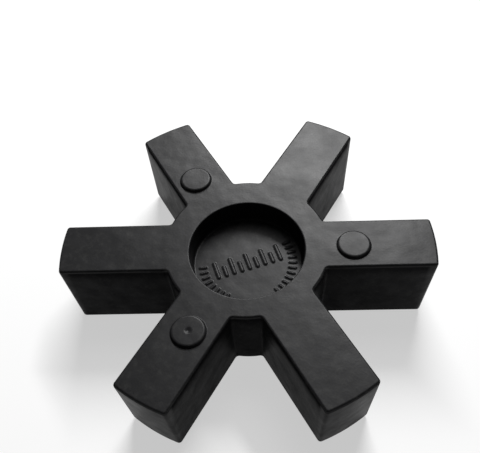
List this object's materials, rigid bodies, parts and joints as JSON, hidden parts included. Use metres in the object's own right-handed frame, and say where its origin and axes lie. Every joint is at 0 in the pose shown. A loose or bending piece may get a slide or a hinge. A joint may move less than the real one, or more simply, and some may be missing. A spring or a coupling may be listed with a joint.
{
  "type": "jaw coupling spider",
  "caption": "Moulded rubber star for a jaw coupling: straight legs round a hub with a blind recess in each face and small raised stand-off dots.",
  "frame": {"origin": "on the star's axis, on the plane of the lower dots that it rests on", "axes": "+Z along the coupling's axis, up from the lower face to the upper face; +X along one leg"},
  "size_m": [0.095, 0.088, 0.0236],
  "materials": {
    "rubber": "moulded black rubber, satin, slightly mottled"
  },
  "bodies": {
    "root": {"spider": "rubber"}
  },
  "joints": []
}
